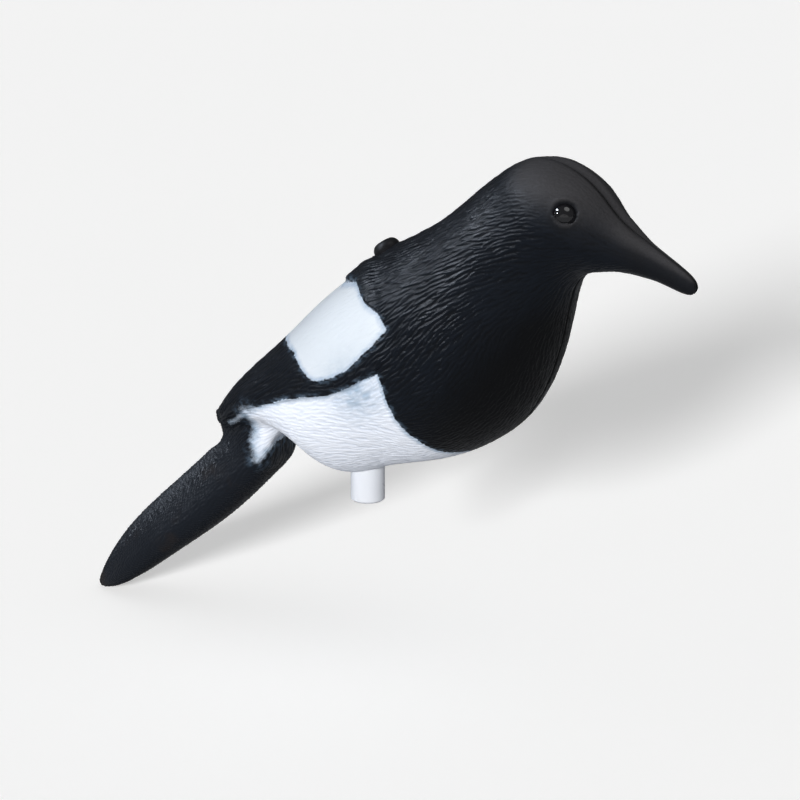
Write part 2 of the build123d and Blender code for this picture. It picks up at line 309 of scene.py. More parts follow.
def remeshed(shell):
    """Points in mm and quads of the shell after a voxel remesh. The shell is then removed."""
    voxels = shell.modifiers.new("voxels", "REMESH")
    voxels.mode = "VOXEL"
    voxels.voxel_size = VOXEL * MM
    bpy.context.view_layer.update()
    graph = bpy.context.evaluated_depsgraph_get()
    mesh = bpy.data.meshes.new_from_object(shell.evaluated_get(graph))
    points = np.empty(len(mesh.vertices) * 3)
    mesh.vertices.foreach_get("co", points)
    quads = np.empty(len(mesh.loops), int)
    mesh.loops.foreach_get("vertex_index", quads)
    bpy.data.objects.remove(shell)
    return points.reshape(-1, 3) / MM, quads.reshape(-1, 4)


def quad_edges(quads):
    """Each edge of the quads once, as pairs of points."""
    pairs = np.concatenate([quads[:, [i, (i + 1) % 4]] for i in range(4)])
    return np.unique(np.sort(pairs, axis=1), axis=0)


def outer_island(points, quads):
    """The points and quads of the island with the largest box, which is the outside."""
    edges = quad_edges(quads)
    label = np.arange(len(points))
    while True:
        lowest = np.minimum(label[edges[:, 0]], label[edges[:, 1]])
        update = label.copy()
        np.minimum.at(update, label[edges[:, 0]], lowest)
        np.minimum.at(update, label[edges[:, 1]], lowest)
        update = update[update]
        if np.array_equal(update, label):
            break
        label = update
    spans = {k: np.ptp(points[label == k], axis=0).sum() for k in np.unique(label)}
    keep = label == max(spans, key=spans.get)
    number = np.cumsum(keep) - 1
    return points[keep], number[quads[keep[quads[:, 0]]]]


def smoothed(points, edges, passes, share=SMOOTH_SHARE):
    """Points moved towards the middle of their neighbours."""
    count = np.bincount(edges.ravel(), minlength=len(points))[:, None]
    for _ in range(passes):
        middle = np.empty_like(points)
        for axis in range(3):
            total = np.bincount(edges[:, 0], points[edges[:, 1], axis], len(points))
            total += np.bincount(edges[:, 1], points[edges[:, 0], axis], len(points))
            middle[:, axis] = total
        points = points + (middle / count - points) * share
    return points


def line_distance(points, line):
    """Distance of each point from a line of places seen from the side."""
    nearest = np.full(len(points), np.inf)
    places = np.array(line, float)
    for start, end in zip(places[:-1], places[1:]):
        edge = end - start
        offset = points[:, [0, 2]] - start
        share = np.clip(offset @ edge / (edge @ edge), 0, 1)
        nearest = np.minimum(nearest, np.linalg.norm(offset - share[:, None] * edge, axis=1))
    return nearest


def melted(points, edges, line, reach, passes):
    """Points with the hard steps near a line smoothed away."""
    share = 1 - smoothstep(line_distance(points, line), reach * MELT_CORE, reach)
    used = (share > 0)[edges].any(axis=1)
    near, number = np.unique(edges[used], return_inverse=True)
    near_edges = number.reshape(-1, 2)
    patch = smoothed(points[near], near_edges, passes, share[near, None] * SMOOTH_SHARE)
    points = points.copy()
    points[near] = patch
    return points


def normals_of(points, quads):
    """Outward unit normal at each point."""
    across = points[quads[:, 2]] - points[quads[:, 0]]
    along = points[quads[:, 3]] - points[quads[:, 1]]
    faces = np.cross(across, along)
    total = np.empty_like(points)
    for axis in range(3):
        weights = np.repeat(faces[:, axis], 4)
        total[:, axis] = np.bincount(quads.ravel(), weights, len(points))
    return unit(total)


def plumage_at(points):
    """Heading (X, Z), width, length and height of the tufts at each point."""
    guides = np.array(PLUMAGE, float)
    angles = np.radians(guides[:, 2])
    values = np.column_stack([np.cos(angles), np.sin(angles), guides[:, 3:]])
    apart = points[:, None, [0, 2]] - guides[None, :, :2]
    weight = 1 / ((apart**2).sum(2) + GUIDE_REACH**2) ** 2
    weight /= weight.sum(1, keepdims=True)
    return weight @ values


def outline_depth(points, outline):
    """How far each point lies inside an outline seen from the side; negative is outside."""
    corners = np.array(outline, float)
    x, z = points[:, 0], points[:, 2]
    nearest = np.full(len(points), np.inf)
    inside = np.zeros(len(points), bool)
    for start, end in zip(corners, np.roll(corners, -1, axis=0)):
        edge = end - start
        offset = np.column_stack([x, z]) - start
        share = np.clip(offset @ edge / (edge @ edge), 0, 1)
        nearest = np.minimum(nearest, np.linalg.norm(offset - share[:, None] * edge, axis=1))
        crosses = (start[1] > z) != (end[1] > z)
        rise = edge[1] if edge[1] != 0 else 1e-9
        inside ^= crosses & (x < start[0] + edge[0] * (z - start[1]) / rise)
    return np.where(inside, nearest, -nearest)


def scatter(points, flow, sizes, random):
    """Places of the tufts: points in random order, each clear of the tufts before it."""
    reach = (sizes[:, 1] * ROW_OVERLAP).max()
    cells = {}
    chosen = []
    order = random.permutation(len(points))[: len(points) // TUFT_TRIES]
    keys = np.floor(points / reach).astype(int)
    for i in order:
        cx, cy, cz = keys[i]
        near = []
        for dx in (-1, 0, 1):
            for dy in (-1, 0, 1):
                for dz in (-1, 0, 1):
                    near += cells.get((cx + dx, cy + dy, cz + dz), [])
        if near:
            offset = points[near] - points[i]
            along = offset @ flow[i]
            beside = np.sqrt(np.maximum((offset**2).sum(1) - along**2, 0))
            apart = (along / (sizes[i, 1] * ROW_OVERLAP)) ** 2
            apart += (beside / (sizes[i, 0] * SIDE_OVERLAP)) ** 2
            if apart.min() < 1:
                continue
        cells.setdefault((cx, cy, cz), []).append(i)
        chosen.append(i)
    return chosen


def feather_height(points, normals, flow, sizes, random):
    """Height of the carved plumage at each point, from 0 to 1: the tallest tuft there."""
    tree = KDTree(len(points))
    for i, place in enumerate(points):
        tree.insert(place, i)
    tree.balance()
    height = np.zeros(len(points))
    for i in scatter(points, flow, sizes, random):
        size = 1 + SIZE_JITTER * random.uniform(-1, 1)
        width, length = sizes[i, :2] * size
        turn = math.radians(HEADING_JITTER) * random.uniform(-1, 1)
        bend = random.uniform(-TUFT_BEND, TUFT_BEND)
        level = random.uniform(*TUFT_LEVELS)
        side = np.cross(normals[i], flow[i])
        ahead = flow[i] * math.cos(turn) + side * math.sin(turn)
        side = np.cross(normals[i], ahead)
        near = np.array([hit[1] for hit in tree.find_range(points[i], length * TUFT_REACH)])
        near = near[normals[near] @ normals[i] > TUFT_FACING]
        offset = points[near] - points[i]
        u = offset @ ahead / length
        v = offset @ side / (width / 2) + bend * (4 * u * u - 0.5)
        tip = u + 0.5
        # Rounded at both ends and narrower towards the tip, where it also rises.
        outline = np.clip(4 * tip * (1 - tip), 0, 1) ** 0.45 * (1.1 - 0.45 * tip)
        round_off = np.clip(1 - np.abs(v) / np.maximum(outline, 0.05), 0, 1) ** 0.8
        rise = level * (0.45 + 0.55 * smoothstep(tip, 0, 0.8)) * round_off
        rise[(u < -0.5) | (u > 0.5)] = 0
        height[near] = np.maximum(height[near], rise)
    return height


def tail_relief(points, random):
    """Herringbone barbs beside the tail's ridge and a row of bumps on each side, in mm."""
    start, end = np.array(TAIL_START), np.array(TAIL_END)
    run = unit(end - start)
    offset = points[:, [0, 2]] - start
    along = offset @ run
    above = offset @ np.array([run[1], -run[0]])
    beside = np.abs(points[:, 1])
    share = smoothstep(along, *TAIL_RAMP)
    barbs = np.sin((along - TAIL_BARB_SLANT * beside) * 2 * math.pi / TAIL_BARB_PITCH)
    relief = TAIL_BARB_HEIGHT * barbs * share
    length = np.linalg.norm(end - start)
    first, last = TAIL_BUMP_ENDS
    jitter_along, jitter_across = TAIL_BUMP_JITTER
    for side in (-1, 1):
        for place in np.arange(first, length - last, TAIL_BUMP_PITCH):
            # The row spreads at the tail's root and closes in again over its last part.
            narrow = 1 - 0.55 * smoothstep(place, length * 0.6, length)
            line = TAIL_BUMP_LINE * narrow * smoothstep(place, -20, 30)
            line += random.uniform(-jitter_across, jitter_across)
            size = TAIL_BUMP_R * random.uniform(0.7, 1.2)
            apart = (along - place - random.uniform(-jitter_along, jitter_along)) ** 2
            apart += (points[:, 1] - side * line) ** 2
            bump_height = TAIL_BUMP_HEIGHT * random.uniform(0.5, 1.0)
            relief += bump_height * np.exp(-apart / size**2) * (above > TAIL_BUMP_LOWEST)
    return relief, share


def around(points, node, zone):
    """Points seen from a turned node: offset, its axis, distance from that, and in its zone."""
    centre, axis = turned_axis(node)
    offset = points - centre
    depth = offset @ axis
    radius = np.sqrt(np.maximum((offset**2).sum(1) - depth**2, 0))
    return offset, axis, radius, (np.abs(depth) < zone[0]) & (radius < zone[1])


def carve(points, normals, random):
    """The skin's carved relief in mm, and the values at each point that the paint reads."""
    plumage = plumage_at(points)
    flow = np.column_stack([plumage[:, 0], np.zeros(len(points)), plumage[:, 1]])
    flow = unit(flow - normals * (flow * normals).sum(1, keepdims=True))
    crest = feather_height(points, normals, flow, plumage[:, 2:4], random)

    shoulder = outline_depth(points, SHOULDER_WHITE)
    flank = outline_depth(points, FLANK_WHITE)
    streak = outline_depth(points, WING_TIP_STREAK)
    x, y, z = points.T

    calm = 1 - smoothstep(x, *BEAK_RAMP) * BEAK_CALM
    calm *= 1 - SHOULDER_CALM * smoothstep(shoulder, *SHOULDER_RAMP)
    from_axis = np.hypot(x, y)
    spindle = 1 - smoothstep(from_axis, SPINDLE_CLEAR_R, SPINDLE_CLEAR_R + SPINDLE_CLEAR_FADE)
    calm *= 1 - spindle * (z < SPINDLE_CLEAR_TOP_Z)
    relief = FEATHER_RELIEF * plumage[:, 4] * (crest - FEATHER_ZERO)

    tail, tail_share = tail_relief(points, random)
    relief += tail * (1 - TAIL_EDGE_CALM * smoothstep(np.abs(normals[:, 1]), *TAIL_EDGE_RAMP))

    for node in ("right_eye", "left_eye"):
        offset, _, radius, near = around(points, node, EYE_ZONE)
        clear = smoothstep(radius, EYE_CLEAR_R, EYE_CLEAR_R + EYE_CLEAR_FADE)
        calm *= np.where(near, clear, 1)
        brow = np.exp(-(((radius - BROW_R) / BROW_WIDTH) ** 2)) * near
        front_top = offset @ unit(np.array(BROW_TOP)) / np.maximum(radius, 1)
        relief += BROW_HEIGHT * brow * (BROW_LOW + (1 - BROW_LOW) * np.clip(front_top, 0, 1))

    _, axis, radius, near = around(points, "back_knob", KNOB_ZONE)
    clear = smoothstep(radius, KNOB_CLEAR_R, KNOB_CLEAR_R + KNOB_CLEAR_FADE)
    calm *= np.where(near, clear, 1)
    swell = np.exp(-((radius / KNOB_SWELL_R) ** 2)) * smoothstep(radius, *KNOB_SWELL_RAMP)
    swell *= normals @ axis > 0

    outside = np.maximum(-shoulder, 0)
    mantle = smoothstep(-shoulder, *MANTLE_EDGE_RAMP) * np.exp(-outside / MANTLE_FADE)
    mantle *= smoothstep(z, *MANTLE_LOW_RAMP) * smoothstep(x, *MANTLE_REAR_RAMP)
    mantle *= 1 - smoothstep(x, *MANTLE_FRONT_RAMP)
    knob_share = MANTLE_AT_KNOB + (1 - MANTLE_AT_KNOB) * smoothstep(radius, *MANTLE_KNOB_RAMP)
    mantle *= np.where(near, knob_share, 1)

    crown = smoothstep(x, *CROWN_REAR_RAMP) * (1 - smoothstep(x, *CROWN_FRONT_RAMP))
    facing = normals[:, 2] + 0.4 * normals[:, 0]
    crown *= smoothstep(np.abs(y), *CROWN_SIDE_RAMP) * smoothstep(facing, *CROWN_FACING_RAMP)

    seam = np.exp(-((y / SEAM_R) ** 2))
    seam *= SEAM_DEPTH + SEAM_HEAD_DEPTH * smoothstep(x, *SEAM_HEAD_RAMP)
    seam *= (from_axis > SPINDLE_CLEAR_R) | (z > SPINDLE_CLEAR_TOP_Z)

    relief = relief * calm + MANTLE_STEP * mantle + CROWN_SWELL * crown - seam
    relief += KNOB_SWELL * swell * smoothstep(-shoulder, *KNOB_PATCH_RAMP)
    tuck = np.hypot(x - BELLY_TUCK[0], z - BELLY_TUCK[1])
    relief -= BELLY_TUCK_DEPTH * np.exp(-((tuck / BELLY_TUCK_R) ** 2))

    # Where the head's grey goes, stronger on surfaces that face up: painted top light.
    head = smoothstep(z + 0.5 * (x - 115), *HEAD_LOW_RAMP) * smoothstep(x, *HEAD_REAR_RAMP)
    head *= HEAD_UNLIT_SHARE + (1 - HEAD_UNLIT_SHARE) * smoothstep(normals[:, 2], *HEAD_TOP_LIGHT_RAMP)
    # Where the breast's black is darker: painted shade.
    breast_shade = smoothstep(x * 0.8 - z * 0.6, *BREAST_RAMP) * (1 - smoothstep(z, *BREAST_TOP_RAMP))
    corner = np.hypot(x - FLANK_CORNER[0], z - FLANK_CORNER[1])
    values = {
        "shoulder_depth": shoulder,
        "flank_depth": flank,
        "streak_depth": streak,
        "flank_corner": np.exp(-((corner / FLANK_CORNER_R) ** 2)),
        # feather height, which the paint also uses for painted shade in the grooves and painted
        # highlights on the crests
        "crest": crest * calm,
        "head": head,
        "brushy": smoothstep(-x, *BRUSHY_RAMP),
        # where the seam's groove gets a dark line: painted shade
        "seam": np.exp(-((y / SEAM_SHADE_R) ** 2)) * smoothstep(x, *SEAM_SHADE_RAMP),
        "beak": smoothstep(x, *BEAK_PAINT_RAMP),
        "tail": tail_share,
        "breast_shade": breast_shade,
    }
    return relief, values


def skin_half(name, points, quads, values, side):
    """One half of the skin, cut at the parting plane and closed there. side is +1 or -1."""
    mesh = bpy.data.meshes.new(name)
    mesh.from_pydata((points * MM).tolist(), [], quads.tolist())
    for key, value in values.items():
        layer = mesh.attributes.new(key, "FLOAT", "POINT")
        layer.data.foreach_set("value", value.astype(np.float32))
    build = bmesh.new()
    build.from_mesh(mesh)
    everything = list(build.verts) + list(build.edges) + list(build.faces)
    bmesh.ops.bisect_plane(
        build,
        geom=everything,
        dist=1e-7,
        plane_co=(0, 0, 0),
        plane_no=(0, -side, 0),
        clear_outer=True,
    )
    for face in build.faces:
        face.smooth = True
    rim = [e for e in build.edges if e.is_boundary]
    rim_points = {v for e in rim for v in e.verts}
    for point in rim_points:
        point.co.y = 0
    before = set(build.faces)
    bmesh.ops.holes_fill(build, edges=rim, sides=0)
    caps = [f for f in build.faces if f not in before]
    bmesh.ops.triangulate(build, faces=caps)
    build.to_mesh(mesh)
    build.free()
    half = bpy.data.objects.new(name, mesh)
    bpy.context.scene.collection.objects.link(half)
    return half


def swivel_pocket():
    """A turned cutter around the swivel: the CAD's hole in the belly, then the room inside."""
    bush_low, bush_high = (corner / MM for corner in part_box("spigot_bush"))
    washers = ("retaining_washer", "thrust_washer")
    washers_low_z = min(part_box(node)[0].z for node in washers) / MM
    floor_z = min(bush_low.z, washers_low_z) - POCKET_GAP
    top_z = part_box("retaining_screw")[1].z / MM + POCKET_GAP
    pocket_r = (bush_high.x - bush_low.x) / 2 + POCKET_GAP
    profile = [
        (0, POCKET_START_Z), (BELLY_HOLE_R, POCKET_START_Z), (BELLY_HOLE_R, floor_z),
        (pocket_r, floor_z), (pocket_r, top_z), (0, top_z),
    ]
    build = bmesh.new()
    points = [build.verts.new((r * MM, 0, z * MM)) for r, z in profile]
    edges = [build.edges.new(pair) for pair in zip(points[:-1], points[1:])]
    bmesh.ops.spin(
        build,
        geom=points + edges,
        cent=(0, 0, 0),
        axis=(0, 0, 1),
        angle=2 * math.pi,
        steps=POCKET_STEPS,
    )
    bmesh.ops.remove_doubles(build, verts=build.verts, dist=MERGE_DISTANCE)
    bmesh.ops.recalc_face_normals(build, faces=build.faces)
    mesh = bpy.data.meshes.new("swivel_pocket")
    build.to_mesh(mesh)
    build.free()
    cutter = bpy.data.objects.new("swivel_pocket", mesh)
    bpy.context.scene.collection.objects.link(cutter)
    return cutter


def pocketed(skin, cutter):
    """Cut the swivel's pocket out of a skin, for good."""
    cut = skin.modifiers.new("pocket", "BOOLEAN")
    cut.operation = "DIFFERENCE"
    cut.solver = "EXACT"
    cut.object = cutter
    bpy.context.view_layer.update()
    graph = bpy.context.evaluated_depsgraph_get()
    mesh = bpy.data.meshes.new_from_object(skin.evaluated_get(graph))
    skin.modifiers.clear()
    skin.data = mesh


def bird_skins(material):
    """The carved and painted skins that stand for the two CAD half shells."""
    random = np.random.default_rng(7)
    points, quads = outer_island(*remeshed(closed_shell()))
    edges = quad_edges(quads)
    points = smoothed(points, edges, SMOOTH_PASSES)
    points = melted(points, edges, WING_FRONT, WING_FRONT_R, FRONT_PASSES)
    points = melted(points, edges, RUMP_CREASE, RUMP_CREASE_R, RUMP_PASSES)
    points = melted(points, edges, BACK_RIDGE, BACK_RIDGE_R, RIDGE_PASSES)
    normals = normals_of(points, quads)
    if normals[points[:, 2].argmax(), 2] < 0:
        quads = quads[:, ::-1]
        normals = -normals
    relief, values = carve(points, normals, random)
    carved = points + normals * relief[:, None]
    cutter = swivel_pocket()
    for side, word in ((-1, "right"), (1, "left")):
        skin = skin_half(f"{word}_skin", carved, quads, values, side)
        pocketed(skin, cutter)
        skin.data.materials.clear()
        skin.data.materials.append(material)
        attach(skin, "bird")
        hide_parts(f"{word}_half_shell")
    bpy.data.objects.remove(cutter)


# --- materials ---------------------------------------------------------------------------


def new_material(name):
    """A material, its node tree and its Principled shader."""
    material = bpy.data.materials.new(name)
    material.use_nodes = True
    return material, material.node_tree, material.node_tree.nodes["Principled BSDF"]


def add(tree, kind, inputs=None, **settings):
    """A node with its settings, and its inputs set or linked."""
    node = tree.nodes.new(kind)
    for key, value in settings.items():
        setattr(node, key, value)
    for key, value in (inputs or {}).items():
        if isinstance(value, bpy.types.NodeSocket):
            tree.links.new(value, node.inputs[key])
        else:
            node.inputs[key].default_value = value
    return node


def math_of(tree, operation, a, b):
    """A Math node's result."""
    return add(tree, "ShaderNodeMath", {0: a, 1: b}, operation=operation).outputs[0]


def between(tree, value, low, high, out_low=0.0, out_high=1.0):
    """A value mapped smoothly from one range to another."""
    inputs = {0: value, 1: low, 2: high, 3: out_low, 4: out_high}
    node = add(tree, "ShaderNodeMapRange", inputs, interpolation_type="SMOOTHSTEP")
    return node.outputs[0]


def mixed(tree, share, a, b):
    """Two colours mixed; a and b are colours or sockets."""
    inputs = {0: share, 6: a, 7: b}
    return add(tree, "ShaderNodeMix", inputs, data_type="RGBA").outputs[2]


def attribute(tree, name):
    """A value that the skin holds at each of its points."""
    return add(tree, "ShaderNodeAttribute", attribute_name=name).outputs["Fac"]


def noise(tree, scale, detail=3.0, stretch=None):
    """Noise in the object's own coordinates; stretch scales each axis first."""
    place = add(tree, "ShaderNodeTexCoord").outputs["Object"]
    if stretch:
        place = add(tree, "ShaderNodeMapping", {"Vector": place, "Scale": stretch}).outputs[0]
    inputs = {"Vector": place, "Scale": scale, "Detail": detail}
    return add(tree, "ShaderNodeTexNoise", inputs).outputs["Fac"]


def bump(tree, shader, height, distance, strength):
    """Fine relief that the mesh doesn't hold; distance in metres."""
    inputs = {"Height": height, "Distance": distance, "Strength": strength}
    node = add(tree, "ShaderNodeBump", inputs)
    tree.links.new(node.outputs[0], shader.inputs["Normal"])


def grey(value, blue=0.0):
    """A colour near grey, with a little more blue."""
    return (value * (1 - blue), value, value * (1 + 2 * blue), 1)


# Paint, from the roots of the tufts to their crests where there are two.
# Roots darker than crests are painted shade in the grooves; the lighter black crests are a painted
# highlight.
BLACK_ROOT_SHADED = grey(0.0022, 0.15)
BLACK_CREST_LIT = grey(0.0060, 0.30)
BLACK_BLOTCH = grey(0.008, 0.35)
# Painted shade on the breast.
BLACK_BREAST_SHADED = grey(0.0016, 0.12)
BLACK_TAIL = (0.0075, 0.0095, 0.0135, 1)
BROWN_TAIL = (0.020, 0.014, 0.011, 1)
# Painted shade along the seam's groove.
BLACK_SEAM_SHADE = grey(0.0008)
# Grey paint of the head; its mask lays it on more where the surface faces up, as painted top
# light.
HEAD_DARK = (0.023, 0.0225, 0.0235, 1)
HEAD_LIGHT = (0.042, 0.041, 0.044, 1)
# The white's grey-blue roots are painted shade in the grooves between tufts.
WHITE_ROOT_SHADED = (0.63, 0.67, 0.75, 1)
WHITE_CREST = (0.76, 0.78, 0.83, 1)
# The same white, darker inside the shoulder patch: painted shade where the key lamp falls fuller.
WHITE_SHOULDER_SHADED = (0.585, 0.625, 0.665, 1)
BLUE_THIN = (0.22, 0.31, 0.41, 1)  # where the white is thin
BLUE_HAZE = (0.075, 0.11, 0.155, 1)  # where a little of it lies on the black

EYE_BLACK = (0.006, 0.006, 0.007, 1)
KNOB_BLACK = (0.006, 0.006, 0.007, 1)
SPIGOT_WHITE = (0.64, 0.66, 0.70, 1)
ACETAL = (0.78, 0.78, 0.74, 1)
ZINC = (0.74, 0.75, 0.77, 1)
SPRING_STEEL = (0.42, 0.42, 0.43, 1)


def plumage_material():
    """Semi-gloss painted plastic: black plumage, white patches with brushed edges."""
    material, tree, shader = new_material("painted_plumage")
    crest = attribute(tree, "crest")
    head = attribute(tree, "head")
    beak = attribute(tree, "beak")
    blotch = noise(tree, scale=60)
    grain = noise(tree, scale=900, detail=4)

    # Painted shade in the grooves between tufts and a painted highlight on their crests.
    black = mixed(tree, crest, BLACK_ROOT_SHADED, BLACK_CREST_LIT)
    black = mixed(tree, math_of(tree, "MULTIPLY", blotch, 0.4), black, BLACK_BLOTCH)
    # Painted shade: darker black on the breast.
    black = mixed(tree, attribute(tree, "breast_shade"), black, BLACK_BREAST_SHADED)
    # The head's grey paint, stronger where it faces up: painted top light.
    black = mixed(tree, head, black, mixed(tree, grain, HEAD_DARK, HEAD_LIGHT))
    brown = between(tree, noise(tree, scale=45), 0.52, 0.75, 0, 0.5)
    tail = attribute(tree, "tail")
    black = mixed(tree, math_of(tree, "MULTIPLY", tail, 0.7), black, BLACK_TAIL)
    black = mixed(tree, math_of(tree, "MULTIPLY", brown, tail), black, BROWN_TAIL)
    # Painted shade: a dark line along the seam's groove.
    black = mixed(tree, attribute(tree, "seam"), black, BLACK_SEAM_SHADE)

    # The brush wanders over the outlines of the white, more so at the rear of the flank.
    brush = noise(tree, scale=330, detail=4, stretch=(0.45, 1, 1))
    chips = noise(tree, scale=1100, detail=2)
    wander = math_of(tree, "MULTIPLY", math_of(tree, "SUBTRACT", brush, 0.5), 2.3)
    specks = math_of(tree, "MULTIPLY", math_of(tree, "SUBTRACT", chips, 0.5), 1.8)
    wander = math_of(tree, "ADD", wander, specks)
    brushy = attribute(tree, "brushy")
    stronger = math_of(tree, "ADD", 1.0, math_of(tree, "MULTIPLY", brushy, 0.7))
    wander = math_of(tree, "MULTIPLY", wander, stronger)

    # Depth into each patch, negative outside it, and from that where the white covers.
    shoulder = math_of(tree, "ADD", attribute(tree, "shoulder_depth"), wander)
    flank = math_of(tree, "ADD", attribute(tree, "flank_depth"), wander)
    streak = math_of(tree, "ADD", attribute(tree, "streak_depth"), wander)
    inner = math_of(tree, "MAXIMUM", shoulder, flank)
    cover_start = math_of(tree, "SUBTRACT", -0.35, math_of(tree, "MULTIPLY", brushy, 3.4))
    cover_reach = math_of(tree, "ADD", 0.35, math_of(tree, "MULTIPLY", brushy, 2.6))
    covered = between(tree, inner, cover_start, cover_reach)
    streaked = between(tree, streak, -0.6, 1.6, 0, 0.65)
    white_share = math_of(tree, "MAXIMUM", covered, streaked)

    # Blue-grey where the white is thin, and where it hazes over the black.
    edge_reach = math_of(tree, "ADD", 3.6, math_of(tree, "MULTIPLY", brushy, 5.0))
    blue_edge = between(tree, inner, 0.2, edge_reach, 0.8, 0)
    haze_reach = math_of(tree, "SUBTRACT", -3.2, math_of(tree, "MULTIPLY", brushy, 6.0))
    overspray = between(tree, inner, haze_reach, 0, 0, 0.6)
    overspray = math_of(tree, "MULTIPLY", overspray, between(tree, brush, 0.42, 0.66))
    black = mixed(tree, overspray, black, BLUE_HAZE)
    wash = between(tree, brush, 0.3, 0.55, 0.65, 1)
    corner = math_of(tree, "MULTIPLY", attribute(tree, "flank_corner"), wash)
    thin = math_of(tree, "MAXIMUM", blue_edge, math_of(tree, "MULTIPLY", corner, 0.95))
    patchy = between(tree, noise(tree, scale=190), 0.3, 0.7, 0.6, 1)
    thin = math_of(tree, "MULTIPLY", thin, patchy)
    # Painted shade: grey-blue in the grooves of the white.
    white = mixed(tree, crest, WHITE_ROOT_SHADED, WHITE_CREST)
    # Painted shade: darker white inside the shoulder patch, where the key lamp falls fuller.
    white = mixed(tree, between(tree, shoulder, 0, 3), white, WHITE_SHOULDER_SHADED)
    white = mixed(tree, thin, white, BLUE_THIN)
    tree.links.new(mixed(tree, white_share, black, white), shader.inputs["Base Color"])

    rough = between(tree, blotch, 0.3, 0.7, 0.36, 0.46)
    rough = math_of(tree, "SUBTRACT", rough, math_of(tree, "MULTIPLY", crest, 0.10))
    rough = math_of(tree, "ADD", rough, math_of(tree, "MULTIPLY", head, 0.32))
    rough = math_of(tree, "SUBTRACT", rough, math_of(tree, "MULTIPLY", beak, 0.12))
    rough = math_of(tree, "ADD", rough, math_of(tree, "MULTIPLY", white_share, 0.08))
    tree.links.new(rough, shader.inputs["Roughness"])
    shader.inputs["Specular IOR Level"].default_value = 0.17
    bump(tree, shader, grain, 0.00025, 0.5)
    return material


def plastic_material(name, colour, roughness, speckle, relief):
    """Moulded plastic: speckle is how much its colour varies, relief its bump in mm."""
    material, tree, shader = new_material(name)
    cloud = noise(tree, scale=150)
    shade = tuple(c * (1 - speckle) for c in colour[:3]) + (1,)
    tree.links.new(mixed(tree, cloud, shade, colour), shader.inputs["Base Color"])
    rough = between(tree, cloud, 0.3, 0.7, roughness * 0.85, roughness * 1.15)
    tree.links.new(rough, shader.inputs["Roughness"])
    bump(tree, shader, noise(tree, scale=1600), relief * MM, 0.6)
    return material


def metal_material(name, colour, roughness):
    """Plated steel with a fine turned grain."""
    material, tree, shader = new_material(name)
    grain = noise(tree, scale=2200, detail=2, stretch=(1, 1, 0.08))
    shade = tuple(c * 0.75 for c in colour[:3]) + (1,)
    tree.links.new(mixed(tree, grain, shade, colour), shader.inputs["Base Color"])
    rough = between(tree, grain, 0.3, 0.7, roughness, roughness * 1.5)
    tree.links.new(rough, shader.inputs["Roughness"])
    shader.inputs["Metallic"].default_value = 1.0
    bump(tree, shader, grain, 0.00002, 0.5)
    return material


def dress(material, *nodes):
    """Give CAD nodes a material."""
    for node in nodes:
        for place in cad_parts[node].material_slots:
            place.material = material


def dress_cad_nodes():
    """Materials of the CAD nodes that stay in view or inside."""
    eye = plastic_material("eye_gloss", EYE_BLACK, roughness=0.06, speckle=0.3, relief=0.002)
    eye.node_tree.nodes["Principled BSDF"].inputs["Coat Weight"].default_value = 0.6
    dress(eye, "right_eye", "left_eye")
    knob = plastic_material("knob_satin", KNOB_BLACK, roughness=0.5, speckle=0.3, relief=0.03)
    knob.node_tree.nodes["Principled BSDF"].inputs["Specular IOR Level"].default_value = 0.25
    dress(knob, "back_knob")
    white = plastic_material(
        "spigot_white", SPIGOT_WHITE, roughness=0.32, speckle=0.03, relief=0.02
    )
    dress(white, "stake_spigot")
    bearing = plastic_material("bearing_acetal", ACETAL, roughness=0.38, speckle=0.05, relief=0.02)
    dress(bearing, "spigot_bush", "thrust_washer")
    zinc = metal_material("zinc_plate", ZINC, roughness=0.28)
    dress(zinc, "retaining_washer", "retaining_screw", "knob_washer", "knob_nut")
    spring = metal_material("spring_steel", SPRING_STEEL, roughness=0.36)
    dress(spring, "right_eye_clip", "left_eye_clip")


# --- stage, light and camera ---------------------------------------------------------------

# In metres and degrees, from the mouth of the stake bore.
FLOOR_R = 9.0
FLOOR_GAP = 0.0008  # under the lowest point
FLOOR_DARK = (0.985, 0.985, 0.985, 1)  # the floor's tone as the camera sees it
FLOOR_LIGHT = (1, 1, 1, 1)
FLOOR_BOUNCE = (0.38, 0.38, 0.38, 1)  # its tone for the light that it throws back
FLOOR_LIFT = (0.144, 0.125, 0.094, 1)  # added for the camera only, so shadows stay pale
BACKDROP = (0.896, 0.896, 0.896, 1)
SURROUND = (0.118, 0.12, 0.125, 1)  # what lights the bird and shows in its gloss
COOL = (0.78, 0.87, 1.0)
COOL_GLOSS = (0.78, 0.86, 1.0)
COOL_GLINT = (0.84, 0.90, 1.0)
CAMERA_AZIMUTH = 30.0
CAMERA_ELEVATION = 18.0
CAMERA_LENS = 150.0
CAMERA_DISTANCE = 1.9
CAMERA_REACH = 50  # how far the camera sees
AIM_RIGHT = 0.0185  # what the camera looks at
AIM_UP = 0.0564


def direction(azimuth, elevation):
    """Unit vector from the object; azimuth 0 is -Y and 90 is +X."""
    a, e = math.radians(azimuth), math.radians(elevation)
    return Vector((math.sin(a) * math.cos(e), -math.cos(a) * math.cos(e), math.sin(e)))


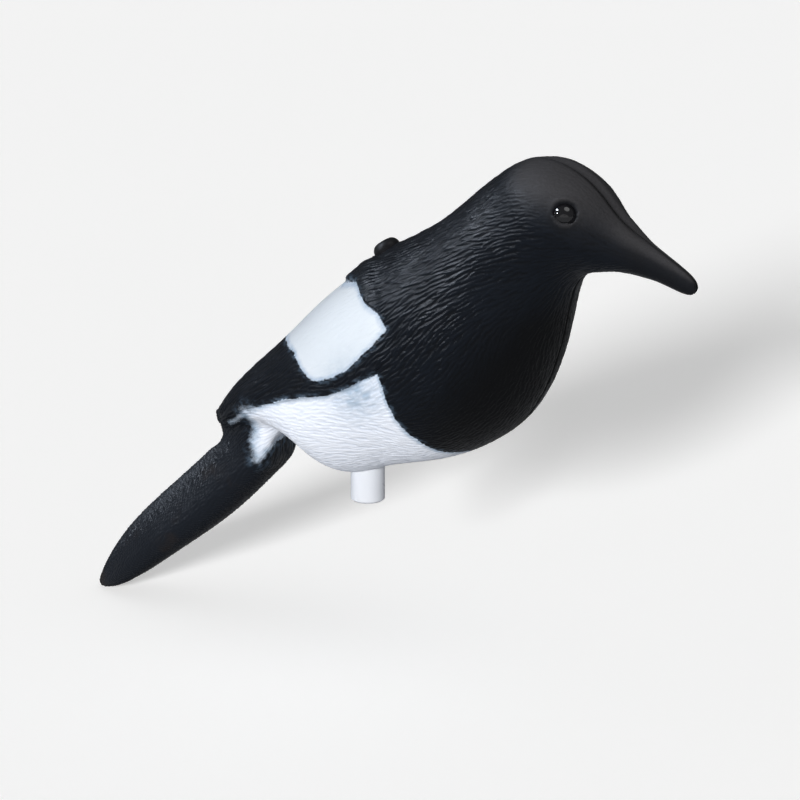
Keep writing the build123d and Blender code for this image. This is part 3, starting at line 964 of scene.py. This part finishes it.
def floor():
    """Round pale floor under the lowest point, see-through from below."""
    material, tree, shader = new_material("studio_floor")
    shader.inputs["Roughness"].default_value = 0.9
    shader.inputs["Specular IOR Level"].default_value = 0.0
    tone = mixed(tree, noise(tree, scale=3), FLOOR_DARK, FLOOR_LIGHT)
    camera_ray = add(tree, "ShaderNodeLightPath").outputs["Is Camera Ray"]
    tone = mixed(tree, camera_ray, FLOOR_BOUNCE, tone)
    tree.links.new(tone, shader.inputs["Base Color"])
    lift = mixed(tree, camera_ray, (0, 0, 0, 1), FLOOR_LIFT)
    tree.links.new(lift, shader.inputs["Emission Color"])
    shader.inputs["Emission Strength"].default_value = 1.0
    clear = add(tree, "ShaderNodeBsdfTransparent").outputs[0]
    below = add(tree, "ShaderNodeNewGeometry").outputs["Backfacing"]
    surface = add(tree, "ShaderNodeMixShader", {0: below, 1: shader.outputs[0], 2: clear})
    tree.links.new(surface.outputs[0], tree.nodes["Material Output"].inputs["Surface"])
    build = bmesh.new()
    bmesh.ops.create_circle(build, cap_ends=True, segments=64, radius=FLOOR_R)
    bmesh.ops.translate(build, verts=build.verts, vec=(0, 0, CAD_BOX[0].z - FLOOR_GAP))
    mesh = bpy.data.meshes.new("studio_floor")
    build.to_mesh(mesh)
    build.free()
    mesh.materials.append(material)
    disc = bpy.data.objects.new("studio_floor", mesh)
    bpy.context.scene.collection.objects.link(disc)


def sun(name, azimuth, elevation, strength, softness, colour=(1, 1, 1), shadow=False):
    """A lamp with parallel rays; softness is the angle that it fills, in degrees."""
    light = bpy.data.lights.new(name, "SUN")
    light.energy = strength
    light.angle = math.radians(softness)
    light.color = colour
    light.use_shadow = shadow
    lamp = bpy.data.objects.new(name, light)
    lamp.rotation_mode = "QUATERNION"
    lamp.rotation_quaternion = direction(azimuth, elevation).to_track_quat("Z", "Y")
    bpy.context.scene.collection.objects.link(lamp)
    return lamp


def studio_light():
    """A key, a cool sheen and weak lamps from above and below, in a grey surround.

    The key gives no gloss. The gloss and glint lamps give nothing else.
    """
    world = bpy.data.worlds.new("studio")
    bpy.context.scene.world = world
    world.use_nodes = True
    tree = world.node_tree
    camera_ray = add(tree, "ShaderNodeLightPath").outputs["Is Camera Ray"]
    colour = mixed(tree, camera_ray, SURROUND, BACKDROP)
    tree.links.new(colour, tree.nodes["Background"].inputs["Color"])
    key = sun("key", azimuth=12, elevation=16.8, strength=3.6, softness=9, shadow=True)
    key.visible_glossy = False
    sun("sheen", azimuth=-75, elevation=38, strength=1.0, softness=11, colour=COOL)
    gloss = sun("gloss", azimuth=-60, elevation=40, strength=1.15, softness=9, colour=COOL_GLOSS)
    gloss.visible_diffuse = False
    glint = sun("glint", azimuth=-42, elevation=22, strength=0.9, softness=5, colour=COOL_GLINT)
    glint.visible_diffuse = False
    sun("top", azimuth=80, elevation=66, strength=0.5, softness=40)
    sun("fill", azimuth=25, elevation=-20, strength=0.6, softness=90)


def camera():
    """Camera at the object's three-quarter view from the right and a little above."""
    data = bpy.data.cameras.new("camera")
    data.lens = CAMERA_LENS
    data.clip_end = CAMERA_REACH
    view = bpy.data.objects.new("camera", data)
    back = direction(CAMERA_AZIMUTH, CAMERA_ELEVATION)
    right = Vector((0, 0, 1)).cross(back).normalized()
    up = back.cross(right)
    view.location = back * CAMERA_DISTANCE
    look = view.location - right * AIM_RIGHT - up * AIM_UP
    view.rotation_mode = "QUATERNION"
    view.rotation_quaternion = look.to_track_quat("Z", "Y")
    bpy.context.scene.collection.objects.link(view)
    bpy.context.scene.camera = view
    bpy.context.scene.view_settings.view_transform = "Standard"


camera()
studio_light()
floor()
bird_skins(plumage_material())
dress_cad_nodes()
